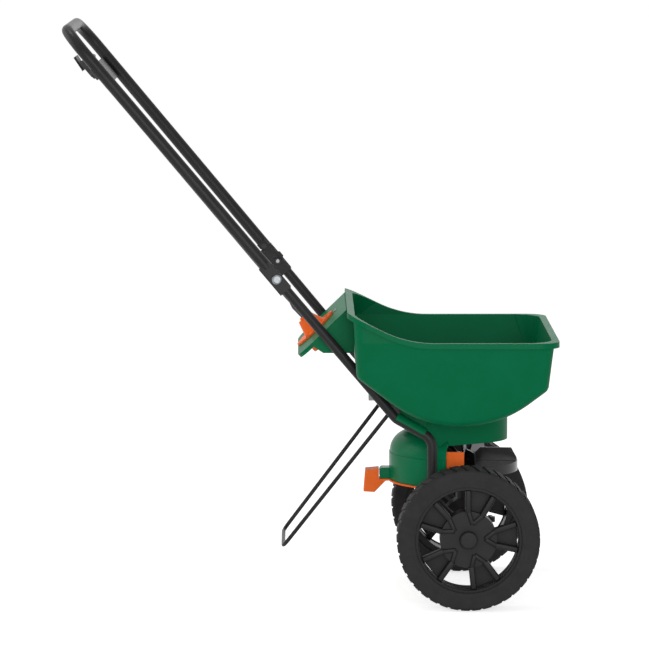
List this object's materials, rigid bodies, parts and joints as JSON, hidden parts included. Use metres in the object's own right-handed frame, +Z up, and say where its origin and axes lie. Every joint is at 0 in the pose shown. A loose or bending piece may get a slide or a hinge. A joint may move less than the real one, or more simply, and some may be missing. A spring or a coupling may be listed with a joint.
{
  "type": "garden spreader",
  "caption": "walk-behind garden broadcast spreader: open hopper, geared impeller, side guard, lugged wheels, kickstand and a folding handle with trigger and rate dial",
  "frame": {"origin": "middle of the bounding box's bottom, on the ground", "axes": "+X is the way it is pushed, +Y is the operator's left, +Z is up"},
  "size_m": [0.7884, 0.424, 0.9294],
  "materials": {
    "green_plastic": "satin moulded, fine grain",
    "orange_plastic": "satin moulded",
    "black_plastic": "satin moulded",
    "grey_plastic": "satin moulded",
    "black_paint": "satin powder coat on steel",
    "black_cable": "smooth sheath over steel wire",
    "zinc_steel": "bright zinc plate",
    "gear_plastic": "natural moulded gear plastic",
    "tyre_black": "matte moulded tread"
  },
  "bodies": {
    "chassis": {"hopper": "green_plastic", "control_panel": "green_plastic", "panel_screws": "zinc_steel", "rod_guide": "grey_plastic", "floor_bush": "black_plastic", "lower_tube_right": "black_paint", "lower_tube_left": "black_paint", "frame_screws": "zinc_steel", "kickstand": "black_paint", "rear_shroud": "green_plastic", "shroud_screws": "zinc_steel", "gearbox_upper": "black_plastic", "gearbox_lower": "black_plastic", "gearbox_screws": "zinc_steel", "axle_bushes": "black_plastic", "wheel_spacers": "black_plastic"},
    "drive": {"axle": "zinc_steel", "drive_gear": "gear_plastic", "drive_pin": "zinc_steel", "wheel_rim_right": "black_plastic", "tyre_right": "tyre_black", "hub_cap_right": "black_plastic"},
    "idle_wheel": {"wheel_rim_left": "black_plastic", "tyre_left": "tyre_black", "hub_cap_left": "black_plastic"},
    "spinner": {"impeller_shaft": "zinc_steel", "pinion": "gear_plastic", "impeller": "black_plastic", "impeller_pin": "zinc_steel", "agitator": "zinc_steel"},
    "shutoff": {"shutoff_plate": "black_plastic"},
    "plunger_rod": {"plunger": "orange_plastic", "cable_ferrule": "zinc_steel", "cable_tail": "black_cable", "control_rod": "zinc_steel"},
    "dial": {"rate_dial": "orange_plastic"},
    "guard": {"side_guard": "orange_plastic"},
    "handle": {"upper_handle": "black_paint", "handle_console": "black_plastic", "console_screws": "zinc_steel", "fold_bolts": "zinc_steel", "fold_nuts": "zinc_steel", "trigger_pin": "zinc_steel", "latch_pin": "zinc_steel"},
    "cable": {"trigger_cable": "black_cable"},
    "trigger_lever": {"trigger": "black_plastic"},
    "latch": {"fold_latch": "black_plastic"}
  },
  "joints": [
    {"name": "axle_turn", "type": "hinge", "parent": "chassis", "child": "drive", "pos_m": [0.25025, 0, 0.114], "axis": [0, 1, 0], "continuous": true},
    {"name": "idle_wheel_turn", "type": "hinge", "parent": "chassis", "child": "idle_wheel", "pos_m": [0.25025, 0, 0.114], "axis": [0, 1, 0], "continuous": true},
    {"name": "impeller_spin", "type": "hinge", "parent": "chassis", "child": "spinner", "pos_m": [0.25025, 0, 0.214], "axis": [0, 0, 1], "continuous": true},
    {"name": "handle_fold", "type": "hinge", "parent": "chassis", "child": "handle", "pos_m": [-0.05435, 0, 0.5262], "axis": [0, 1, 0], "range_deg": [0, 135]},
    {"name": "trigger_pull", "type": "hinge", "parent": "handle", "child": "trigger_lever", "pos_m": [-0.35267, 0, 0.87114], "axis": [0, 1, 0], "range_deg": [0, 30]},
    {"name": "cable_slide", "type": "slide", "parent": "handle", "child": "cable", "axis": [-0.6428, 0, 0.766], "range_m": [0, 0.00885]},
    {"name": "plunger_slide", "type": "slide", "parent": "chassis", "child": "plunger_rod", "axis": [-0.6947, 0, 0.7193], "range_m": [0, 0.00885], "stiffness_N_per_m": 150},
    {"name": "shutoff_slide", "type": "slide", "parent": "chassis", "child": "shutoff", "axis": [-1, 0, 0], "range_m": [0, 0.00615]},
    {"name": "dial_turn", "type": "hinge", "parent": "chassis", "child": "dial", "pos_m": [0.00875, 0, 0.4285], "axis": [-0.6947, 0, 0.7193], "range_deg": [0, 270]},
    {"name": "guard_swing", "type": "hinge", "parent": "chassis", "child": "guard", "pos_m": [0.25025, 0, 0.19], "axis": [0, 0, 1], "range_deg": [0, 35]},
    {"name": "latch_turn", "type": "hinge", "parent": "handle", "child": "latch", "pos_m": [-0.07736, 0.141, 0.55128], "axis": [0, -1, 0], "range_deg": [0, 25]}
  ],
  "couplings": [
    {"joint": "impeller_spin", "follows": "axle_turn", "ratio": -3},
    {"joint": "cable_slide", "follows": "plunger_slide", "ratio": 1},
    {"joint": "shutoff_slide", "follows": "plunger_slide", "ratio": 0.69466},
    {"joint": "trigger_pull", "follows": "plunger_slide", "rad_per_m": 59.164}
  ]
}
